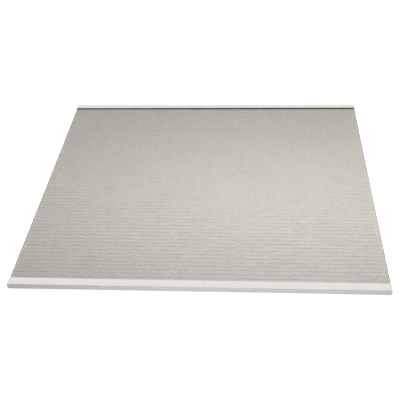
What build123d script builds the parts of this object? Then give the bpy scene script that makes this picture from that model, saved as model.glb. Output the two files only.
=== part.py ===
from build123d import *
import os

# Refrigerator glass shelf: a toughened glass plate that lies over the crisper drawer, with a plastic
# channel trim pushed onto its front edge and another onto its rear edge.
# Millimetres. X runs along the trims, Y from front to rear, Z up. The origin is at the bottom centre.

# Glass plate
glass_width = 460.0
glass_depth = 429.0
glass_thickness = 4.0
glass_corner_radius = 5.0
glass_arris = 0.4

# Legs of the trims: the lower leg carries the shelf, the lip lies on the glass
lower_leg = 1.7
front_lip = 1.7
rear_lip = 2.0

# Depth of the trims, outside the glass edge and over the glass
front_nose = 2.0
rear_nose = 2.0
front_grip = 10.3
rear_grip = 10.0

# Length of the front trim past the glass at each end; the rear trim is cut flush
front_overhang = 0.3

# Grip inside the channel: a rib at the nose, a shallow pocket, a land, and a flared mouth that guides the
# glass in, opened further under the lip than over the lower leg
rib_width = 1.2
pocket_relief = 0.3
land_length = 1.8
flare_length = 2.2
lip_flare = 1.0
leg_flare = 0.6

# Rounded outer edges of the sections, and the broken edges of the sawn ends
front_upper_radius = 0.6
front_lower_radius = 1.0
rear_upper_radius = 0.8
rear_lower_radius = 0.8
lip_radius = 0.5
end_break = 0.25

# Places that follow from the sizes
glass_bottom = lower_leg
glass_top = glass_bottom + glass_thickness
overall_depth = front_nose + glass_depth + rear_nose
glass_front = front_nose - overall_depth / 2
glass_rear = glass_front + glass_depth
front_length = glass_width + 2 * front_overhang
rear_length = glass_width

LOW_CORNER = (Align.MIN, Align.MIN)


def corner(outline, along, up):
    """The vertex of an outline that lies nearest to a point."""
    return outline.vertices().sort_by_distance((along, up, 0))[0]


def trim_blank(nose, grip, lip, upper_radius, lower_radius):
    """Outer outline of a trim's section, with the glass edge at 0 and the glass towards +X."""
    height = glass_top + lip
    blank = Pos(-nose, 0) * Rectangle(nose + grip, height, align=LOW_CORNER)
    blank = fillet(corner(blank, -nose, 0), lower_radius)
    blank = fillet(corner(blank, -nose, height), upper_radius)
    blank = fillet(corner(blank, grip, 0), lip_radius)
    return fillet(corner(blank, grip, height), lip_radius)


def trim_slot(grip):
    """Space that the glass edge is pushed into, with the pockets that leave a rib and a land to grip it."""
    pocket_length = grip - flare_length - land_length - rib_width
    slot = Pos(0, glass_bottom) * Rectangle(grip, glass_thickness, align=LOW_CORNER)
    pocket = Pos(rib_width, glass_bottom - pocket_relief) * Rectangle(
        pocket_length, glass_thickness + 2 * pocket_relief, align=LOW_CORNER
    )
    mouth = make_face(
        Polyline(
            (grip - flare_length, glass_bottom),
            (grip, glass_bottom - leg_flare),
            (grip, glass_top + lip_flare),
            (grip - flare_length, glass_top),
            close=True,
        )
    )
    return slot + pocket + mouth


def make_trim(across, length, grip, blank):
    """Extruded trim: its blank with eased ends, cut along its whole length by the slot."""
    bar = extrude(across * blank, length / 2, both=True)
    bar = chamfer(bar.faces().filter_by(Axis.X).edges(), end_break)
    return bar - extrude(across * trim_slot(grip), length / 2, both=True)


def make_glass_plate():
    """Plate with rounded safety corners and a ground arris along every edge."""
    plate = extrude(RectangleRounded(glass_width, glass_depth, glass_corner_radius), glass_thickness)
    plate = chamfer(plate.faces().filter_by(Axis.Z).edges(), glass_arris)
    return Pos(0, (glass_front + glass_rear) / 2, glass_bottom) * plate


def make_front_trim():
    """Front trim: crisp upper edge, rounder lower edge, a little longer than the glass."""
    across = Plane(origin=(0, glass_front, 0), x_dir=(0, 1, 0), z_dir=(1, 0, 0))
    blank = trim_blank(front_nose, front_grip, front_lip, front_upper_radius, front_lower_radius)
    return make_trim(across, front_length, front_grip, blank)


def make_rear_trim():
    """Rear trim: thicker lip that stands up as a stop, flush with the glass at both ends."""
    across = Plane(origin=(0, glass_rear, 0), x_dir=(0, -1, 0), z_dir=(-1, 0, 0))
    blank = trim_blank(rear_nose, rear_grip, rear_lip, rear_upper_radius, rear_lower_radius)
    return make_trim(across, rear_length, rear_grip, blank)


pieces = {
    "glass_plate": make_glass_plate(),
    "front_trim": make_front_trim(),
    "rear_trim": make_rear_trim(),
}

os.makedirs("parts", exist_ok=True)
for name, piece in pieces.items():
    export_step(piece, f"parts/{name}.step")
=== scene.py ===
import math

import bpy
from mathutils import Matrix, Vector


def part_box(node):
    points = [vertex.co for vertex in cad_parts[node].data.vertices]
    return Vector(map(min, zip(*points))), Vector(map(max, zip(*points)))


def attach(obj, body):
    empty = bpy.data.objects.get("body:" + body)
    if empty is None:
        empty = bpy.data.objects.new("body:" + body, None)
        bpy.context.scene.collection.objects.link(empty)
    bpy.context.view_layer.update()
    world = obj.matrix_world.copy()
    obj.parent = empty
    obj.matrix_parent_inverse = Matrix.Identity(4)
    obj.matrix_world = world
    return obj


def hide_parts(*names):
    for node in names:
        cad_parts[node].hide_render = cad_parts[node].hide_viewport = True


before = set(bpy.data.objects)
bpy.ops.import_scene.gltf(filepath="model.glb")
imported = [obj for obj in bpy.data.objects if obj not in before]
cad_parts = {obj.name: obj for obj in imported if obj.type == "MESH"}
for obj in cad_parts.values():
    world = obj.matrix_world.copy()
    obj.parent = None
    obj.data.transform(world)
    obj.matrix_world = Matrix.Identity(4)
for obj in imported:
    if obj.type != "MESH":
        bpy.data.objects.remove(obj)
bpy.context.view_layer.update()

bl_info = {
    "name": "Refrigerator glass shelf",
    "version": (1, 0, 0),
    "blender": (4, 5, 0),
    "location": "View3D > Sidebar > Glass shelf",
    "description": "Models a printed glass shelf with its white edge trims and lights it in a studio",
    "category": "Object",
}

MILLIMETRE = 0.001
BODY = "root"
GLASS_LOW, GLASS_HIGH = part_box("glass_plate")

# Order of the glass sheet's materials
FACE_MATERIALS = ("printed face", "clear underside", "ground edge")

# Modelling: tests of facing and nearness, the sharpest smooth edge, how far a cut runs clear
FACING = 0.9
NEAR = 1e-6
SHARP_ANGLE = math.radians(32.0)
CUT_CLEARANCE = 1.0 * MILLIMETRE

# Span of a noise that holds nearly all of its values
NOISE_LOW = 0.3
NOISE_HIGH = 0.7

# Print: spread of the ink, unevenness of the finer rows, softness of a dash's edge, tone and satin
INK_SPREAD_SCALE = (40.0, 380.0, 1.0)
INK_HALF_WIDTH = (0.46, 0.54)
STREAK_SCALE = (110.0, 141.0, 1.0)
STREAK_WEIGHT = 0.5
UNEVEN_SPAN = (0.25, 0.75)
DASH_EDGE = (0.9, 1.1)
INK_TONE_SCALE = 55.0
INK_TONE = (0.94, 1.06)
INK_SATIN_SCALE = 900.0
INK_SATIN = (0.24, 0.32)

# Glass: bending of light, polish of the printed face, haze below, and the ground edges
GLASS_IOR = 1.52
POLISH = 0.04
HAZE_SCALE = 30.0
HAZE = (0.02, 0.06)
GRIND_SCALE = 2500.0
GRIND_SATIN = (0.30, 0.50)
GRIND_CLEARNESS = 0.35
GRIND_DEPTH = 0.02 * MILLIMETRE
GRIND_STRENGTH = 0.6

# Trims: die lines along the extrusion and a faint cloud in the white
DIE_LINE_SCALE = (3.0, 2400.0, 2400.0)
DIE_LINE_SATIN = (-0.05, 0.07)
DIE_LINE_DEPTH = 0.015 * MILLIMETRE
DIE_LINE_STRENGTH = 0.5
CLOUD_SCALE = 28.0
CLOUD_TONE = (0.985, 1.015)

# Studio: floor, overhead light, softbox and strip lamp
FLOOR_SIZE = 8.0
FLOOR_LEVEL = -0.2 * MILLIMETRE
OVERHEAD_PLACE = (0.0, 0.9, 2.0)
OVERHEAD_ANGLE = math.radians(28.0)
SOFTBOX_PLACE = (0.215, 1.114, 0.92)
SOFTBOX_HALF_SIZE = (1.641, 0.718, 1.0)
FILL_PLACE = (0.06, -0.38, 0.0037)
FILL_TARGET = (0.06, -0.2165, 0.0037)
FILL_LENGTH = 0.42
FILL_HEIGHT = 0.0065
WHITE = (1.0, 1.0, 1.0, 1.0)


def length_prop(name, description, default):
    """A length in metres that a user can change."""
    return bpy.props.FloatProperty(
        name=name, description=description, default=default, min=0.0, precision=5, unit="LENGTH"
    )


def colour_prop(name, description, default):
    """A linear colour that a user can change."""
    return bpy.props.FloatVectorProperty(
        name=name, description=description, default=default, size=3, min=0.0, max=1.0, subtype="COLOR"
    )


def share_prop(name, description, default, high=1.0):
    """A plain number between nothing and a stated most."""
    return bpy.props.FloatProperty(
        name=name, description=description, default=default, min=0.0, max=high
    )


class GlassSettings(bpy.types.PropertyGroup):
    """Sizes and finish of the glass sheet and its print."""

    corner_radius: length_prop("Corner radius", "Rounded safety corners", 5.0 * MILLIMETRE)
    corner_segments: bpy.props.IntProperty(
        name="Corner segments", description="Faces round each safety corner", default=10, min=1
    )
    arris: length_prop("Arris", "Ground bevel along every edge", 0.4 * MILLIMETRE)
    # Glass tint: far darker than clear glass, painted shade where the print shades the floor below
    tint: colour_prop("Glass tint", "Colour of the glass under the print", (0.30, 0.288, 0.267))
    # Side tint over the side reach: lighter glass, painted light that comes in under the left and right
    # sides
    painted_side_light: colour_prop("Side tint", "Colour of the glass at its sides", (0.40, 0.408, 0.408))
    side_light_reach: length_prop("Side reach", "How far in the side tint reaches", 12.0 * MILLIMETRE)
    clear_tint: colour_prop("Clear tint", "Colour of the unprinted lower face", (0.95, 0.96, 0.955))
    edge_tint: colour_prop("Edge tint", "Grey green of the ground edges", (0.50, 0.54, 0.525))
    enamel: colour_prop("Enamel", "Colour of the printed dashes", (0.80, 0.757, 0.691))
    sheen: share_prop("Sheen", "How far the enamel mirrors as metal does", 0.5)
    print_margin: length_prop("Print margin", "Bare glass at the left and right", 0.8 * MILLIMETRE)
    row_pitch: length_prop("Row pitch", "Distance between printed rows", 1.42 * MILLIMETRE)
    dash_pitch: length_prop("Dash pitch", "Distance between dashes in a row", 0.89 * MILLIMETRE)
    dash_length: length_prop("Dash length", "Length of a printed dash", 0.95 * MILLIMETRE)
    dash_width: length_prop("Dash width", "Width of a printed dash", 1.16 * MILLIMETRE)
    row_group: bpy.props.IntProperty(
        name="Row group", description="One row in so many is printed finer", default=5, min=1
    )
    dash_group: bpy.props.IntProperty(
        name="Dash group", description="Dashes from one fine spot to the next", default=4, min=1
    )
    fine_row: share_prop("Fine row", "Least width of a finer row, to the others", 0.52)
    fine_row_most: share_prop("Fine row, most", "Most width of a finer row, to the others", 0.84)


class TrimSettings(bpy.types.PropertyGroup):
    """Sizes and finish of the two extruded trims."""

    nose: length_prop("Nose", "Wall in front of the glass edge", 2.0 * MILLIMETRE)
    front_upper_radius: length_prop("Front upper radius", "Outer top edge", 0.6 * MILLIMETRE)
    front_lower_radius: length_prop("Front lower radius", "Outer bottom edge", 1.0 * MILLIMETRE)
    rear_radius: length_prop("Rear radius", "Outer edges of the rear trim", 0.8 * MILLIMETRE)
    lip_radius: length_prop("Lip radius", "Edges of the legs at the mouth", 0.5 * MILLIMETRE)
    edge_segments: bpy.props.IntProperty(
        name="Edge segments", description="Faces round each rounded edge", default=6, min=1
    )
    end_break: length_prop("End break", "Broken edge of the sawn ends", 0.25 * MILLIMETRE)
    rib: length_prop("Rib", "Width of the grip rib at the nose", 1.2 * MILLIMETRE)
    relief: length_prop("Relief", "Depth of the pocket between rib and land", 0.3 * MILLIMETRE)
    land: length_prop("Land", "Length of the grip land behind the mouth", 1.8 * MILLIMETRE)
    flare: length_prop("Flare", "Length of the flared mouth", 2.2 * MILLIMETRE)
    lip_flare: length_prop("Lip flare", "Opening of the mouth under the lip", 1.0 * MILLIMETRE)
    leg_flare: length_prop("Leg flare", "Opening of the mouth over the lower leg", 0.6 * MILLIMETRE)
    plastic: colour_prop("Plastic", "Colour of the white plastic", (0.85, 0.825, 0.80))
    roughness: share_prop("Roughness", "Satin finish of the extrusion", 0.45)
    gloss: share_prop("Gloss", "Strength of the mirror image in the plastic", 0.22)


class StudioSettings(bpy.types.PropertyGroup):
    """Camera, lamps and floor."""

    camera_place: bpy.props.FloatVectorProperty(
        name="Camera place",
        description="Where the camera stands",
        default=(0.0692, -0.8261, 0.6048),
        subtype="TRANSLATION",
        unit="LENGTH",
    )
    azimuth: bpy.props.FloatProperty(
        name="Azimuth",
        description="Turn of the view to the right of the front",
        default=math.radians(5.510),
        subtype="ANGLE",
    )
    elevation: bpy.props.FloatProperty(
        name="Elevation",
        description="How far the camera looks down",
        default=math.radians(37.309),
        subtype="ANGLE",
    )
    roll: bpy.props.FloatProperty(
        name="Roll", description="Tilt of the picture", default=math.radians(-2.884), subtype="ANGLE"
    )
    lens: bpy.props.FloatProperty(
        name="Lens", description="Focal length in millimetres on a 36 mm frame", default=64.472
    )
    floor_colour: colour_prop("Floor", "Pale floor", (0.95, 0.95, 0.95))
    floor_lift: share_prop("Floor lift", "Brings the lit floor to white in the picture", 0.80)
    floor_glass_lift: share_prop("Floor lift in glass", "The same where glass shows the floor", 0.10)
    floor_bounce: share_prop("Floor bounce", "Light from the floor on what is close above it", 0.28)
    floor_glass_bounce: share_prop("Bounce through glass", "The same light on the print", 0.48)
    bounce_reach: length_prop("Bounce reach", "How far that light carries", 9.0 * MILLIMETRE)
    ambient: share_prop("Ambient", "Level of the light from all round", 0.05)
    surround: share_prop("Surround", "Level of the studio round the shelf in mirror images", 0.26)
    sky_level: share_prop("Overhead", "Level of the wide overhead lamp", 0.95, 10.0)
    softbox_level: share_prop("Softbox", "Brightness of the softbox at its middle", 1.47, 100.0)
    fill_power: share_prop("Fill power", "Watts of the strip lamp before the front trim", 0.115, 100.0)


def deselect_all():
    """Leaves object mode with nothing selected."""
    if bpy.context.mode != "OBJECT":
        bpy.ops.object.mode_set(mode="OBJECT")
    bpy.ops.object.select_all(action="DESELECT")


def make_active(piece):
    """Selects one piece alone and makes it the active one."""
    deselect_all()
    piece.select_set(True)
    bpy.context.view_layer.objects.active = piece


def add_block(name, low, high):
    """A cube primitive brought to a box, with its place in its mesh."""
    deselect_all()
    low, high = Vector(low), Vector(high)
    bpy.ops.mesh.primitive_cube_add(size=1.0, location=(low + high) / 2, scale=high - low)
    bpy.ops.object.transform_apply(location=True, rotation=True, scale=True)
    piece = bpy.context.object
    piece.name = name
    piece.data.name = name
    return piece


def edit_edges(piece, wanted):
    """Enters edit mode with only those edges selected whose two ends pass the test."""
    make_active(piece)
    mesh = piece.data
    for part in (mesh.vertices, mesh.edges, mesh.polygons):
        part.foreach_set("select", [False] * len(part))
    for edge in mesh.edges:
        first, second = (mesh.vertices[index] for index in edge.vertices)
        if wanted(first.co, second.co):
            edge.select = True
            first.select = True
            second.select = True
    bpy.context.tool_settings.mesh_select_mode = (False, True, False)
    bpy.ops.object.mode_set(mode="EDIT")


def edit_faces(piece, wanted):
    """Enters edit mode with only those faces selected whose centre and normal pass the test."""
    make_active(piece)
    mesh = piece.data
    for part in (mesh.vertices, mesh.edges, mesh.polygons):
        part.foreach_set("select", [False] * len(part))
    for face in mesh.polygons:
        face.select = wanted(face.center, face.normal)
    bpy.context.tool_settings.mesh_select_mode = (False, False, True)
    bpy.ops.object.mode_set(mode="EDIT")


def edit_points(piece, wanted):
    """Enters edit mode with only those vertices selected whose place passes the test."""
    make_active(piece)
    mesh = piece.data
    for part in (mesh.edges, mesh.polygons):
        part.foreach_set("select", [False] * len(part))
    for point in mesh.vertices:
        point.select = wanted(point.co)
    bpy.context.tool_settings.mesh_select_mode = (True, False, False)
    bpy.ops.object.mode_set(mode="EDIT")


def round_edges(piece, wanted, radius, segments):
    """Bevels the edges that pass the test."""
    edit_edges(piece, wanted)
    bpy.ops.mesh.bevel(offset=radius, segments=segments, profile=0.5, affect="EDGES")
    bpy.ops.object.mode_set(mode="OBJECT")


def cut_across(piece, place):
    """Cuts a loop round a piece in a plane across the depth."""
    make_active(piece)
    bpy.ops.object.mode_set(mode="EDIT")
    bpy.ops.mesh.select_all(action="SELECT")
    bpy.ops.mesh.bisect(plane_co=(0.0, place, 0.0), plane_no=(0.0, 1.0, 0.0))
    bpy.ops.object.mode_set(mode="OBJECT")


def cut_away(piece, tool):
    """Takes a tool's shape out of a piece and deletes the tool."""
    make_active(piece)
    bpy.ops.object.modifier_add(type="BOOLEAN")
    cut = piece.modifiers[-1]
    cut.operation = "DIFFERENCE"
    cut.solver = "EXACT"
    cut.object = tool
    bpy.ops.object.modifier_apply(modifier=cut.name)
    make_active(tool)
    bpy.ops.object.delete()


def smooth_shading(piece):
    """Smooth shading across the rounded edges, sharp at the corners."""
    make_active(piece)
    bpy.ops.object.shade_smooth_by_angle(angle=SHARP_ANGLE)
    deselect_all()


def new_material(name):
    """An empty node material with its output node."""
    material = bpy.data.materials.new(name)
    material.use_nodes = True
    tree = material.node_tree
    tree.nodes.clear()
    return material, tree, tree.nodes.new("ShaderNodeOutputMaterial")


def feed(tree, socket, value):
    """Links a socket to another one, or sets it to a plain value."""
    if isinstance(value, bpy.types.NodeSocket):
        tree.links.new(value, socket)
    else:
        socket.default_value = value


def calc(tree, operation, *values):
    """A math node on sockets or numbers."""
    node = tree.nodes.new("ShaderNodeMath")
    node.operation = operation
    for socket, value in zip(node.inputs, values):
        feed(tree, socket, value)
    return node.outputs[0]


def remap(tree, value, low, high, new_low, new_high, kind="LINEAR"):
    """A map range node, from one span of values to another."""
    node = tree.nodes.new("ShaderNodeMapRange")
    node.interpolation_type = kind
    for socket, number in zip(node.inputs, (value, low, high, new_low, new_high)):
        feed(tree, socket, number)
    return node.outputs[0]


def object_places(tree, scale=(1.0, 1.0, 1.0)):
    """Object coordinates, stretched by a mapping node."""
    coordinates = tree.nodes.new("ShaderNodeTexCoord")
    mapping = tree.nodes.new("ShaderNodeMapping")
    mapping.inputs["Scale"].default_value = scale
    tree.links.new(coordinates.outputs["Object"], mapping.inputs["Vector"])
    return mapping.outputs["Vector"]


def noise(tree, places, scale, detail=2.0):
    """Noise from 0 to 1 on the given places."""
    node = tree.nodes.new("ShaderNodeTexNoise")
    tree.links.new(places, node.inputs["Vector"])
    node.inputs["Scale"].default_value = scale
    node.inputs["Detail"].default_value = detail
    return node.outputs["Fac"]


def vary(tree, grain, span):
    """A value that goes with a noise from the low to the high end of a span."""
    return remap(tree, grain, NOISE_LOW, NOISE_HIGH, *span)


def shade_between(tree, share, dark, light):
    """A colour between two, by a share from 0 to 1."""
    node = tree.nodes.new("ShaderNodeMix")
    node.data_type = "RGBA"
    feed(tree, node.inputs["Factor"], share)
    node.inputs["A"].default_value = (*dark, 1.0)
    node.inputs["B"].default_value = (*light, 1.0)
    return node.outputs["Result"]


def mix_shaders(tree, share, first, second):
    """Two shaders mixed by a share: 0 shows the first and 1 the second."""
    node = tree.nodes.new("ShaderNodeMixShader")
    feed(tree, node.inputs["Fac"], share)
    tree.links.new(first, node.inputs[1])
    tree.links.new(second, node.inputs[2])
    return node.outputs["Shader"]


def bump(tree, height, distance, strength):
    """A normal that is pushed by a height from 0 to 1."""
    node = tree.nodes.new("ShaderNodeBump")
    node.inputs["Strength"].default_value = strength
    node.inputs["Distance"].default_value = distance
    tree.links.new(height, node.inputs["Height"])
    return node.outputs["Normal"]


def scaled(colour, by):
    """A colour made lighter or darker."""
    return tuple(min(1.0, part * by) for part in colour)


def principled(tree, colour, roughness):
    """A Principled shader with its colour and roughness."""
    node = tree.nodes.new("ShaderNodeBsdfPrincipled")
    feed(tree, node.inputs["Base Color"], colour)
    feed(tree, node.inputs["Roughness"], roughness)
    return node


def clear_glass(tree, colour, roughness):
    """Glass that bends light for the eye and lets the lamps straight through."""
    glass = principled(tree, colour, roughness)
    glass.inputs["Transmission Weight"].default_value = 1.0
    glass.inputs["IOR"].default_value = GLASS_IOR
    lamps_through = tree.nodes.new("ShaderNodeBsdfTransparent")
    feed(tree, lamps_through.inputs["Color"], colour)
    path = tree.nodes.new("ShaderNodeLightPath")
    return mix_shaders(
        tree, path.outputs["Is Shadow Ray"], glass.outputs["BSDF"], lamps_through.outputs["BSDF"]
    )


def print_mask(tree, settings):
    """1 on the printed dashes and 0 between them: staggered rows along the shelf's width."""
    coordinates = tree.nodes.new("ShaderNodeTexCoord")
    split = tree.nodes.new("ShaderNodeSeparateXYZ")
    tree.links.new(coordinates.outputs["Object"], split.inputs["Vector"])
    across, along = split.outputs["X"], split.outputs["Y"]

    row = calc(tree, "ROUND", calc(tree, "DIVIDE", along, settings.row_pitch))
    off_row = calc(tree, "SUBTRACT", along, calc(tree, "MULTIPLY", row, settings.row_pitch))
    stagger = calc(tree, "MULTIPLY", calc(tree, "FLOORED_MODULO", row, 2.0), 0.5)
    dash_place = calc(tree, "ADD", calc(tree, "DIVIDE", across, settings.dash_pitch), stagger)
    dash_number = calc(tree, "ROUND", dash_place)
    off_dash = calc(tree, "SUBTRACT", dash_place, dash_number)

    # Ink spreads a little more in some places than in others
    spread = noise(tree, object_places(tree, INK_SPREAD_SCALE), 1.0, 2.0)
    ink_width = vary(tree, spread, [share * settings.dash_width for share in INK_HALF_WIDTH])

    # The first row of each group is finer, most of all at regular spots and in some streaks
    row_group = float(settings.row_group)
    in_group = calc(tree, "FLOORED_MODULO", row, row_group)
    group_number = calc(tree, "FLOOR", calc(tree, "DIVIDE", row, row_group))
    shift = calc(tree, "MULTIPLY", calc(tree, "FLOORED_MODULO", group_number, 2.0), 0.5)
    beat = calc(tree, "ADD", calc(tree, "DIVIDE", dash_number, float(settings.dash_group)), shift)
    in_beat = calc(tree, "FLOORED_MODULO", beat, 1.0)
    from_spot = calc(tree, "ABSOLUTE", calc(tree, "SUBTRACT", in_beat, 0.5))
    streaks = noise(tree, object_places(tree, STREAK_SCALE), 1.0, 1.0)
    uneven = calc(tree, "ADD", from_spot, calc(tree, "MULTIPLY", streaks, STREAK_WEIGHT))
    fine = remap(tree, uneven, *UNEVEN_SPAN, settings.fine_row, settings.fine_row_most)
    row_share = remap(tree, in_group, 0.0, 1.0, fine, 1.0)

    # A dash is an ellipse with a soft edge, and the print ends before the left and right edges
    half_width = calc(tree, "MULTIPLY", ink_width, row_share)
    half_length = 0.5 * settings.dash_length / settings.dash_pitch
    over_row = calc(tree, "POWER", calc(tree, "DIVIDE", off_row, half_width), 2.0)
    over_dash = calc(tree, "POWER", calc(tree, "DIVIDE", off_dash, half_length), 2.0)
    reach = calc(tree, "SQRT", calc(tree, "ADD", over_row, over_dash))
    dash = remap(tree, reach, *DASH_EDGE, 1.0, 0.0, "SMOOTHSTEP")
    half_print = GLASS_HIGH.x - settings.print_margin
    inside = calc(tree, "LESS_THAN", calc(tree, "ABSOLUTE", across), half_print)
    return calc(tree, "MULTIPLY", dash, inside)


def painted_shade_and_side_light(tree, settings):
    """Colour of the glass under the print: darker than clear glass as painted shade where the print
    shades the floor below, and lighter towards the left and right edges as painted light that comes in
    under the sides.
    """
    split = tree.nodes.new("ShaderNodeSeparateXYZ")
    tree.links.new(object_places(tree), split.inputs["Vector"])
    from_middle = calc(tree, "ABSOLUTE", split.outputs["X"])
    start = GLASS_HIGH.x - settings.side_light_reach
    side_light_share = remap(tree, from_middle, start, GLASS_HIGH.x, 0.0, 1.0, "SMOOTHSTEP")
    return shade_between(tree, side_light_share, settings.tint, settings.painted_side_light)


def printed_face_material(settings):
    """Upper face: glass tinted grey as painted shade and lighter at the sides as painted light, with
    rows of satin silver-grey dashes fired onto it.
    """
    material, tree, output = new_material("Printed face")
    places = object_places(tree)
    tone = noise(tree, places, INK_TONE_SCALE, 4.0)
    ink = shade_between(tree, tone, *[scaled(settings.enamel, by) for by in INK_TONE])
    enamel = principled(tree, ink, vary(tree, noise(tree, places, INK_SATIN_SCALE), INK_SATIN))
    enamel.inputs["Metallic"].default_value = settings.sheen
    # The glass between the dashes carries the painted shade and the painted side light
    glass = clear_glass(tree, painted_shade_and_side_light(tree, settings), POLISH)
    surface = mix_shaders(tree, print_mask(tree, settings), glass, enamel.outputs["BSDF"])
    tree.links.new(surface, output.inputs["Surface"])
    return material


def clear_underside_material(settings):
    """Lower face: polished float glass with a faint haze."""
    material, tree, output = new_material("Clear underside")
    haze = vary(tree, noise(tree, object_places(tree), HAZE_SCALE), HAZE)
    glass = clear_glass(tree, (*settings.clear_tint, 1.0), haze)
    tree.links.new(glass, output.inputs["Surface"])
    return material


def ground_edge_material(settings):
    """Ground edges: satin, and greener, because the light has come through more glass."""
    material, tree, output = new_material("Ground edge")
    grain = noise(tree, object_places(tree), GRIND_SCALE, 3.0)
    frosted = principled(tree, (*settings.edge_tint, 1.0), vary(tree, grain, GRIND_SATIN))
    frosted.inputs["Transmission Weight"].default_value = GRIND_CLEARNESS
    frosted.inputs["IOR"].default_value = GLASS_IOR
    tree.links.new(bump(tree, grain, GRIND_DEPTH, GRIND_STRENGTH), frosted.inputs["Normal"])
    tree.links.new(frosted.outputs["BSDF"], output.inputs["Surface"])
    return material


def trim_material(settings):
    """Satin white extrusion: faint die lines along its length and a slightly uneven gloss."""
    material, tree, output = new_material("White extrusion")
    die_lines = noise(tree, object_places(tree, DIE_LINE_SCALE), 1.0, 4.0)
    cloud = noise(tree, object_places(tree), CLOUD_SCALE, 3.0)
    colour = shade_between(tree, cloud, *[scaled(settings.plastic, by) for by in CLOUD_TONE])
    satin = vary(tree, die_lines, [settings.roughness + change for change in DIE_LINE_SATIN])
    plastic = principled(tree, colour, satin)
    plastic.inputs["Specular IOR Level"].default_value = settings.gloss
    relief = bump(tree, die_lines, DIE_LINE_DEPTH, DIE_LINE_STRENGTH)
    tree.links.new(relief, plastic.inputs["Normal"])
    tree.links.new(plastic.outputs["BSDF"], output.inputs["Surface"])
    return material


def model_glass_sheet(settings):
    """The sheet: a block with rounded corners, then an arris along its upper and lower edges."""
    sheet = add_block("glass_sheet", GLASS_LOW, GLASS_HIGH)

    def upright(first, second):
        return abs(first.z - second.z) > NEAR

    def on_rim(first, second):
        return abs(first.z - second.z) < NEAR

    round_edges(sheet, upright, settings.corner_radius, settings.corner_segments)
    round_edges(sheet, on_rim, settings.arris, 1)
    return sheet


def dress_glass_sheet(sheet, settings):
    """Gives the upper face the print, the lower face clear glass and the rim its ground finish."""
    sheet.data.materials.append(printed_face_material(settings))
    sheet.data.materials.append(clear_underside_material(settings))
    sheet.data.materials.append(ground_edge_material(settings))
    for face in sheet.data.polygons:
        if face.normal.z > FACING:
            face.material_index = FACE_MATERIALS.index("printed face")
        elif face.normal.z < -FACING:
            face.material_index = FACE_MATERIALS.index("clear underside")
        else:
            face.material_index = FACE_MATERIALS.index("ground edge")


def model_slot_tool(edge, mouth, reach, settings):
    """The shape of a trim's slot: rib, pocket, land and flare, from the glass edge to the mouth."""
    into = math.copysign(1.0, mouth - edge)
    low = (-reach, min(edge, mouth), GLASS_LOW.z)
    high = (reach, max(edge, mouth), GLASS_HIGH.z)
    tool = add_block("slot_tool", low, high)
    rib_end = edge + into * settings.rib
    flare_start = mouth - into * settings.flare
    pocket_end = flare_start - into * settings.land
    for place in (rib_end, pocket_end, flare_start):
        cut_across(tool, place)
    for side, opening in ((1.0, settings.lip_flare), (-1.0, settings.leg_flare)):

        def over_pocket(centre, normal):
            between = min(rib_end, pocket_end) < centre.y < max(rib_end, pocket_end)
            return between and normal.z * side > FACING

        def mouth_edge(place):
            level = GLASS_HIGH.z if side > 0 else GLASS_LOW.z
            return abs(place.y - mouth) < NEAR and abs(place.z - level) < NEAR

        edit_faces(tool, over_pocket)
        bpy.ops.mesh.extrude_region_move(
            TRANSFORM_OT_translate={"value": (0.0, 0.0, side * settings.relief)}
        )
        edit_points(tool, mouth_edge)
        bpy.ops.transform.translate(value=(0.0, 0.0, side * opening))
        bpy.ops.object.mode_set(mode="OBJECT")
    # The open end stands clear of the trim, so that the cut leaves no skin
    edit_faces(tool, lambda centre, normal: abs(centre.y - mouth) < NEAR)
    bpy.ops.mesh.extrude_region_move(
        TRANSFORM_OT_translate={"value": (0.0, into * CUT_CLEARANCE, 0.0)}
    )
    bpy.ops.object.mode_set(mode="OBJECT")
    return tool


def model_trim(name, node, outer, upper_radius, lower_radius, settings):
    """A trim: rounded bar with broken ends, cut along its whole length by the slot for the glass."""
    low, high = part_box(node)
    bar = add_block(name, low, high)
    nose_face = low.y if outer < 0 else high.y
    mouth_face = high.y if outer < 0 else low.y
    glass_edge = nose_face - outer * settings.nose

    def long_edge(depth, level):
        def wanted(first, second):
            runs_along = abs(first.x - second.x) > NEAR
            here = abs(first.y - depth) < NEAR and abs(first.z - level) < NEAR
            return runs_along and here

        return wanted

    def at_end(first, second):
        return abs(first.x - second.x) < NEAR and abs(abs(first.x) - high.x) < NEAR

    segments = settings.edge_segments
    round_edges(bar, long_edge(nose_face, high.z), upper_radius, segments)
    round_edges(bar, long_edge(nose_face, low.z), lower_radius, segments)
    round_edges(bar, long_edge(mouth_face, high.z), settings.lip_radius, segments)
    round_edges(bar, long_edge(mouth_face, low.z), settings.lip_radius, segments)
    round_edges(bar, at_end, settings.end_break, 1)
    cut_away(bar, model_slot_tool(glass_edge, mouth_face, high.x + CUT_CLEARANCE, settings))
    return bar


def look_at(place, target):
    """Turn of a lamp that stands at a place and shines at a target."""
    return (Vector(target) - Vector(place)).to_track_quat("-Z", "Y").to_euler()


def seen_in_glass(tree):
    """1 where the eye sees a surface in a mirror image or through glass, and else 0."""
    path = tree.nodes.new("ShaderNodeLightPath")
    mirrored = calc(
        tree, "MAXIMUM", path.outputs["Is Glossy Ray"], path.outputs["Is Transmission Ray"]
    )
    before_bounce = calc(tree, "LESS_THAN", path.outputs["Diffuse Depth"], 0.5)
    return calc(tree, "MULTIPLY", mirrored, before_bounce)


def seen_straight(tree):
    """1 where the eye looks straight at a surface, and else 0."""
    return tree.nodes.new("ShaderNodeLightPath").outputs["Is Camera Ray"]


def close_by(tree, reach):
    """1 where a matt surface closer than the reach is lit from here: first bare, then through glass."""
    path = tree.nodes.new("ShaderNodeLightPath")
    near = calc(tree, "LESS_THAN", path.outputs["Ray Length"], reach)
    after_bounce = calc(tree, "GREATER_THAN", path.outputs["Diffuse Depth"], 0.5)
    crossing = calc(tree, "MULTIPLY", path.outputs["Is Transmission Ray"], after_bounce)
    bare = calc(tree, "MULTIPLY", path.outputs["Is Diffuse Ray"], near)
    return bare, calc(tree, "MULTIPLY", crossing, near)


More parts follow.
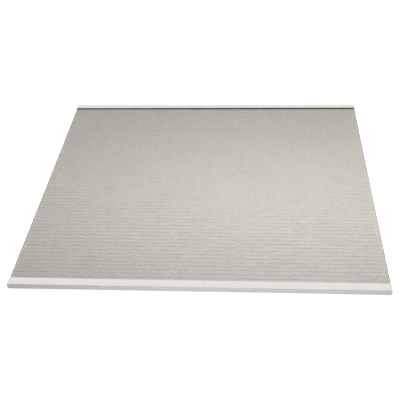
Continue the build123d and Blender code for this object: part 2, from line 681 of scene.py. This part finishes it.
def add_floor(settings):
    """A wide pale floor just under the shelf; from below it can be seen through."""
    deselect_all()
    bpy.ops.mesh.primitive_plane_add(size=FLOOR_SIZE, location=(0.0, 0.0, FLOOR_LEVEL))
    bpy.ops.object.transform_apply(location=True, rotation=True, scale=True)
    floor = bpy.context.object
    floor.name = "floor"

    material, tree, output = new_material("Pale floor")
    matt = tree.nodes.new("ShaderNodeBsdfDiffuse")
    matt.inputs["Color"].default_value = (*settings.floor_colour, 1.0)
    straight_lift = calc(tree, "MULTIPLY", seen_straight(tree), settings.floor_lift)
    glass_lift = calc(tree, "MULTIPLY", seen_in_glass(tree), settings.floor_glass_lift)
    bare, through_glass = close_by(tree, settings.bounce_reach)
    bare_bounce = calc(tree, "MULTIPLY", bare, settings.floor_bounce)
    glass_bounce = calc(tree, "MULTIPLY", through_glass, settings.floor_glass_bounce)
    lift = tree.nodes.new("ShaderNodeEmission")
    seen_lift = calc(tree, "ADD", straight_lift, glass_lift)
    all_lifts = calc(tree, "ADD", seen_lift, calc(tree, "ADD", bare_bounce, glass_bounce))
    tree.links.new(all_lifts, lift.inputs["Strength"])
    lifted = tree.nodes.new("ShaderNodeAddShader")
    tree.links.new(matt.outputs["BSDF"], lifted.inputs[0])
    tree.links.new(lift.outputs["Emission"], lifted.inputs[1])
    nothing = tree.nodes.new("ShaderNodeBsdfTransparent")
    geometry = tree.nodes.new("ShaderNodeNewGeometry")
    from_below = mix_shaders(
        tree, geometry.outputs["Backfacing"], lifted.outputs["Shader"], nothing.outputs["BSDF"]
    )
    tree.links.new(from_below, output.inputs["Surface"])
    floor.data.materials.append(material)


def set_world(settings):
    """White where it is seen, a dim grey in mirror images, and a low even light on the shelf."""
    world = bpy.data.worlds.new("Studio")
    bpy.context.scene.world = world
    world.use_nodes = True
    tree = world.node_tree
    tree.nodes.clear()
    seen_white = tree.nodes.new("ShaderNodeBackground")
    seen_white.inputs["Color"].default_value = WHITE
    path = tree.nodes.new("ShaderNodeLightPath")
    level = remap(tree, path.outputs["Is Glossy Ray"], 0.0, 1.0, 1.0, settings.surround)
    tree.links.new(level, seen_white.inputs["Strength"])
    light = tree.nodes.new("ShaderNodeBackground")
    light.inputs["Strength"].default_value = settings.ambient
    light.inputs["Color"].default_value = WHITE
    seen = calc(tree, "MAXIMUM", seen_straight(tree), seen_in_glass(tree))
    shown = mix_shaders(tree, seen, light.outputs["Background"], seen_white.outputs["Background"])
    # The floor under the glass already gets this light through the glass as the lamps' light does
    nothing = tree.nodes.new("ShaderNodeBackground")
    nothing.inputs["Strength"].default_value = 0.0
    lit_already = calc(
        tree, "MULTIPLY", path.outputs["Is Transmission Ray"], path.outputs["Diffuse Depth"]
    )
    once = mix_shaders(tree, lit_already, shown, nothing.outputs["Background"])
    output = tree.nodes.new("ShaderNodeOutputWorld")
    tree.links.new(once, output.inputs["Surface"])


def add_lamp(kind, name, place, target):
    """A lamp that shines at a target and isn't seen by the camera itself."""
    deselect_all()
    bpy.ops.object.light_add(type=kind, location=place, rotation=look_at(place, target))
    lamp = bpy.context.object
    lamp.name = name
    lamp.visible_camera = False
    lamp.visible_transmission = False
    return lamp


def add_overhead(settings):
    """Wide even light from above and a little behind."""
    lamp = add_lamp("SUN", "overhead", OVERHEAD_PLACE, (0.0, 0.0, 0.0))
    lamp.data.angle = OVERHEAD_ANGLE
    lamp.visible_glossy = False
    lamp.data.energy = settings.sky_level * math.pi


def add_softbox(settings):
    """Large level softbox above and behind, brightest in its middle, which the print mirrors."""
    deselect_all()
    bpy.ops.mesh.primitive_plane_add(size=2.0, location=SOFTBOX_PLACE)
    panel = bpy.context.object
    panel.name = "softbox"
    panel.scale = SOFTBOX_HALF_SIZE
    material, tree, output = new_material("Softbox")
    coordinates = tree.nodes.new("ShaderNodeTexCoord")
    reach = tree.nodes.new("ShaderNodeVectorMath")
    reach.operation = "LENGTH"
    tree.links.new(coordinates.outputs["Object"], reach.inputs[0])
    glow = tree.nodes.new("ShaderNodeEmission")
    level = remap(tree, reach.outputs["Value"], 0.0, 1.0, settings.softbox_level, 0.0, "SMOOTHSTEP")
    tree.links.new(level, glow.inputs["Strength"])
    beyond = tree.nodes.new("ShaderNodeBsdfTransparent")
    shown = tree.nodes.new("ShaderNodeAddShader")
    tree.links.new(glow.outputs["Emission"], shown.inputs[0])
    tree.links.new(beyond.outputs["BSDF"], shown.inputs[1])
    tree.links.new(shown.outputs["Shader"], output.inputs["Surface"])
    panel.data.materials.append(material)
    panel.visible_camera = False
    panel.visible_diffuse = False
    panel.visible_transmission = False
    panel.visible_shadow = False


def add_fill(settings):
    """Low strip lamp before the front trim, more to its right, which lights the trim's face."""
    lamp = add_lamp("AREA", "fill", FILL_PLACE, FILL_TARGET)
    lamp.data.shape = "RECTANGLE"
    lamp.data.size = FILL_LENGTH
    lamp.data.size_y = FILL_HEIGHT
    lamp.data.energy = settings.fill_power


def add_camera(settings):
    """The camera at the photograph's place, looking down at the shelf."""
    azimuth, elevation, roll = settings.azimuth, settings.elevation, settings.roll
    back = Vector(
        (
            math.sin(azimuth) * math.cos(elevation),
            -math.cos(azimuth) * math.cos(elevation),
            math.sin(elevation),
        )
    )
    right = Vector((math.cos(azimuth), math.sin(azimuth), 0.0))
    up = back.cross(right)
    level = Matrix((right, up, back)).transposed()
    deselect_all()
    bpy.ops.object.camera_add(location=settings.camera_place)
    camera = bpy.context.object
    camera.name = "camera"
    camera.rotation_euler = (level @ Matrix.Rotation(roll, 3, "Z")).to_euler()
    camera.data.lens = settings.lens
    bpy.context.scene.camera = camera


class SHELF_OT_glass_sheet(bpy.types.Operator):
    """Model the glass sheet with its ground edges and its print"""

    bl_idname = "glass_shelf.glass_sheet"
    bl_label = "Glass sheet"

    def execute(self, context):
        settings = context.scene.shelf_glass
        sheet = model_glass_sheet(settings)
        dress_glass_sheet(sheet, settings)
        smooth_shading(sheet)
        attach(sheet, BODY)
        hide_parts("glass_plate")
        return {"FINISHED"}


class SHELF_OT_edge_trims(bpy.types.Operator):
    """Model the two white trims on the front and rear edges of the glass"""

    bl_idname = "glass_shelf.edge_trims"
    bl_label = "Edge trims"

    def execute(self, context):
        settings = context.scene.shelf_trim
        finish = trim_material(settings)
        front = model_trim(
            "front_edge_trim",
            "front_trim",
            -1.0,
            settings.front_upper_radius,
            settings.front_lower_radius,
            settings,
        )
        rear = model_trim(
            "rear_edge_trim", "rear_trim", 1.0, settings.rear_radius, settings.rear_radius, settings
        )
        for trim, node in ((front, "front_trim"), (rear, "rear_trim")):
            trim.data.materials.append(finish)
            smooth_shading(trim)
            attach(trim, BODY)
            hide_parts(node)
        return {"FINISHED"}


class SHELF_OT_studio(bpy.types.Operator):
    """Set up the floor, the lamps and the camera"""

    bl_idname = "glass_shelf.studio"
    bl_label = "Studio"

    def execute(self, context):
        settings = context.scene.shelf_studio
        context.scene.view_settings.view_transform = "Standard"
        set_world(settings)
        add_floor(settings)
        add_overhead(settings)
        add_softbox(settings)
        add_fill(settings)
        add_camera(settings)
        deselect_all()
        return {"FINISHED"}


class SHELF_PT_sidebar(bpy.types.Panel):
    """Lists the steps and the sizes that they use"""

    bl_idname = "SHELF_PT_sidebar"
    bl_label = "Glass shelf"
    bl_space_type = "VIEW_3D"
    bl_region_type = "UI"
    bl_category = "Glass shelf"

    def draw(self, context):
        steps = (
            (SHELF_OT_glass_sheet, context.scene.shelf_glass),
            (SHELF_OT_edge_trims, context.scene.shelf_trim),
            (SHELF_OT_studio, context.scene.shelf_studio),
        )
        for step, settings in steps:
            box = self.layout.box()
            box.operator(step.bl_idname)
            for name in settings.bl_rna.properties.keys():
                if name not in ("rna_type", "name"):
                    box.prop(settings, name)


CLASSES = (
    GlassSettings,
    TrimSettings,
    StudioSettings,
    SHELF_OT_glass_sheet,
    SHELF_OT_edge_trims,
    SHELF_OT_studio,
    SHELF_PT_sidebar,
)


def register():
    """Registers the classes and hangs the settings on the scene."""
    for each in CLASSES:
        bpy.utils.register_class(each)
    bpy.types.Scene.shelf_glass = bpy.props.PointerProperty(type=GlassSettings)
    bpy.types.Scene.shelf_trim = bpy.props.PointerProperty(type=TrimSettings)
    bpy.types.Scene.shelf_studio = bpy.props.PointerProperty(type=StudioSettings)


def unregister():
    """Takes the settings off the scene and the classes out again."""
    del bpy.types.Scene.shelf_studio
    del bpy.types.Scene.shelf_trim
    del bpy.types.Scene.shelf_glass
    for each in reversed(CLASSES):
        bpy.utils.unregister_class(each)


def main():
    """Makes the shelf and the studio, step by step."""
    register()
    bpy.ops.glass_shelf.glass_sheet()
    bpy.ops.glass_shelf.edge_trims()
    bpy.ops.glass_shelf.studio()


if __name__ == "__main__":
    main()
